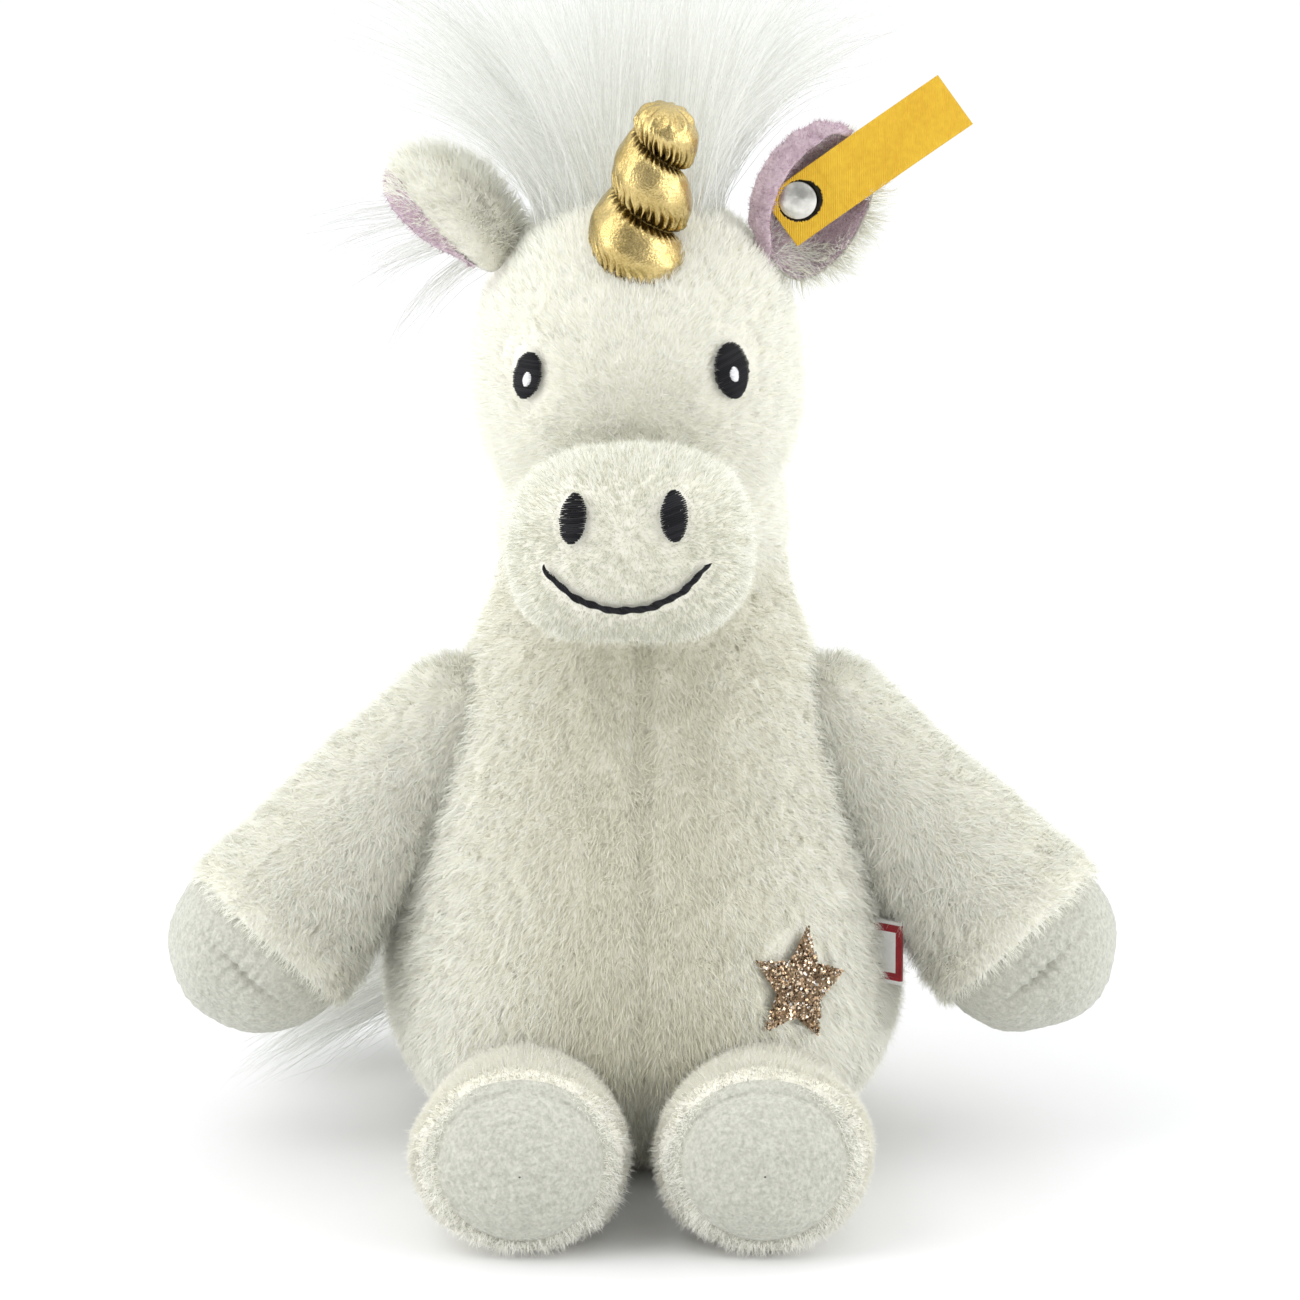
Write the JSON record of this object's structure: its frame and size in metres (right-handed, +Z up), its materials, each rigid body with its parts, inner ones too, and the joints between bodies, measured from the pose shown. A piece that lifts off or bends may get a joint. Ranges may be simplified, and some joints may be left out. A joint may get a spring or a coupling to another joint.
{
  "type": "plush unicorn",
  "caption": "Seated cream plush unicorn with gold spiral horn, long white mane and tail, soft grey hooves, glitter star and ear ribbon.",
  "frame": {"origin": "middle of the flat seat panel that the toy sits on", "axes": "+Z up, the toy faces -Y, its own left side is +X"},
  "size_m": [0.186, 0.1574, 0.238],
  "materials": {
    "plush": "matte",
    "velour": "matte",
    "lining": "matte",
    "fibre": "matte",
    "pouch_cloth": "matte",
    "pellets": "matte",
    "glitter": "satin",
    "label": "satin",
    "black_thread": "satin",
    "white_thread": "satin",
    "gold_foil": "gloss",
    "gold_thread": "satin",
    "tape": "matte",
    "long_hair": "satin",
    "ribbon": "satin",
    "button": "satin"
  },
  "bodies": {
    "torso": {"body_front_left": "plush", "body_front_right": "plush", "body_back_left": "plush", "body_back_right": "plush", "seat_panel": "plush", "body_stuffing": "fibre", "pellet_pouch": "pouch_cloth", "seat_pellets": "pellets", "star_patch": "glitter", "side_label": "label", "tail_tape": "tape"},
    "neck": {"neck_stuffing": "fibre"},
    "head": {"head_side_left": "plush", "head_side_right": "plush", "forehead_gusset": "plush", "chin_panel": "plush", "head_stuffing": "fibre", "muzzle_cover": "plush", "muzzle_stuffing": "fibre", "eye_left": "black_thread", "eye_right": "black_thread", "eye_highlight_left": "white_thread", "eye_highlight_right": "white_thread", "nostril_left": "black_thread", "nostril_right": "black_thread", "smile_line": "black_thread", "horn_cover": "gold_foil", "horn_stuffing": "fibre", "horn_thread": "gold_thread", "mane_strip": "tape", "mane_hair": "long_hair"},
    "ear_left": {"ear_back_left": "plush", "ear_lining_left": "lining", "button_cap": "button", "button_washer": "button"},
    "ear_right": {"ear_back_right": "plush", "ear_lining_right": "lining"},
    "ribbon": {"ear_ribbon": "ribbon"},
    "arm_left": {"arm_cover_left": "plush", "arm_stuffing_left": "fibre", "hoof_front_left": "velour", "hoof_back_left": "velour"},
    "arm_right": {"arm_cover_right": "plush", "arm_stuffing_right": "fibre", "hoof_front_right": "velour", "hoof_back_right": "velour"},
    "leg_left": {"leg_cover_left": "plush", "leg_stuffing_left": "fibre", "sole_left": "velour"},
    "leg_right": {"leg_cover_right": "plush", "leg_stuffing_right": "fibre", "sole_right": "velour"},
    "tail": {"tail_hair": "long_hair"}
  },
  "joints": [
    {"name": "neck_turn", "type": "hinge", "parent": "torso", "child": "neck", "pos_m": [0, 0, 0.122], "axis": [0, 0, 1], "range_deg": [-40, 40]},
    {"name": "head_nod", "type": "hinge", "parent": "neck", "child": "head", "pos_m": [0, 0, 0.122], "axis": [0.998, -0.0523, 0.0349], "range_deg": [-12, 6]},
    {"name": "left_ear_flop", "type": "hinge", "parent": "head", "child": "ear_left", "pos_m": [0.02004, -0.00115, 0.17773], "axis": [0.0523, 0.9986, 0.0018], "range_deg": [-15, 35]},
    {"name": "right_ear_flop", "type": "hinge", "parent": "head", "child": "ear_right", "pos_m": [-0.02388, 0.00115, 0.1762], "axis": [-0.0523, -0.9986, -0.0018], "range_deg": [-15, 35]},
    {"name": "ribbon_swivel", "type": "hinge", "parent": "ear_left", "child": "ribbon", "pos_m": [0.02962, -0.00287, 0.18435], "axis": [-0.0523, -0.9986, -0.0018], "range_deg": [-15, 15]},
    {"name": "left_arm_swing", "type": "hinge", "parent": "torso", "child": "arm_left", "pos_m": [0.03788, -0.004, 0.08269], "axis": [-0.9397, 0, -0.342], "range_deg": [-30, 60]},
    {"name": "right_arm_swing", "type": "hinge", "parent": "torso", "child": "arm_right", "pos_m": [-0.03788, -0.004, 0.08269], "axis": [-0.9397, 0, 0.342], "range_deg": [-30, 60]},
    {"name": "left_leg_lift", "type": "hinge", "parent": "torso", "child": "leg_left", "pos_m": [0.0225, -0.046, 0.0158], "axis": [-1, 0, 0], "range_deg": [-20, 30]},
    {"name": "right_leg_lift", "type": "hinge", "parent": "torso", "child": "leg_right", "pos_m": [-0.0225, -0.046, 0.0158], "axis": [-1, 0, 0], "range_deg": [-20, 30]},
    {"name": "tail_swing", "type": "hinge", "parent": "torso", "child": "tail", "pos_m": [0, 0.0605, 0.022], "axis": [0, 0, -1], "range_deg": [0, 150]}
  ]
}
